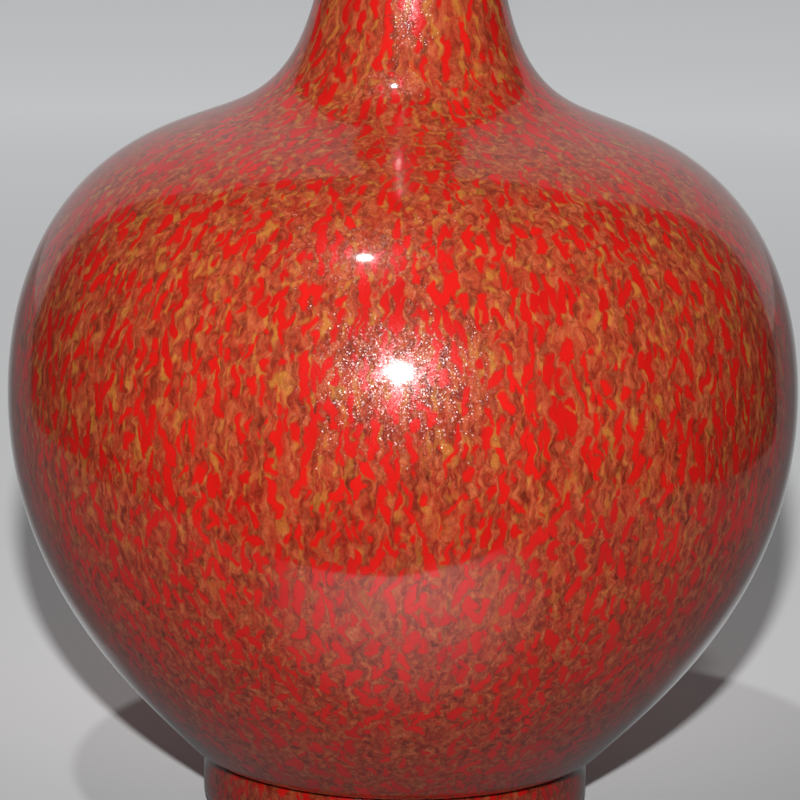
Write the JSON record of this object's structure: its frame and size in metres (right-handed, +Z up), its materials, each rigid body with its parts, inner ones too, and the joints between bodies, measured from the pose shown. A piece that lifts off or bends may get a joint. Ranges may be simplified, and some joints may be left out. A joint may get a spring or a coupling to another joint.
{
  "type": "gallbladder vase",
  "caption": "Round-bellied ceramic vase with a low foot ring, sloping shoulders, a long narrow neck and a small everted mouth, in mottled red glaze.",
  "frame": {"origin": "centre of the foot, on the surface the vase stands on", "axes": "+Z up along the axis of the vase; the vase is the same all round it"},
  "size_m": [0.2, 0.2, 0.34],
  "materials": {
    "foot_clay": "bare fired clay, smooth turned rim",
    "body_clay": "bare fired clay",
    "joint_slip": "fired slip",
    "outer_glaze": "gloss glaze, bright red flecks on mottled brown and ochre",
    "inner_glaze": "gloss glaze, plain brown red",
    "base_glaze": "gloss glaze, thin brown red"
  },
  "bodies": {
    "root": {"foot_ring": "foot_clay", "base_disc": "body_clay", "foot_slip_joint": "joint_slip", "lower_belly": "body_clay", "belly_slip_joint": "joint_slip", "upper_belly": "body_clay", "neck_slip_joint": "joint_slip", "neck": "body_clay", "lip_slip_joint": "joint_slip", "mouth_rim": "body_clay", "outer_glaze": "outer_glaze", "inner_glaze": "inner_glaze", "base_glaze": "base_glaze"}
  },
  "joints": []
}
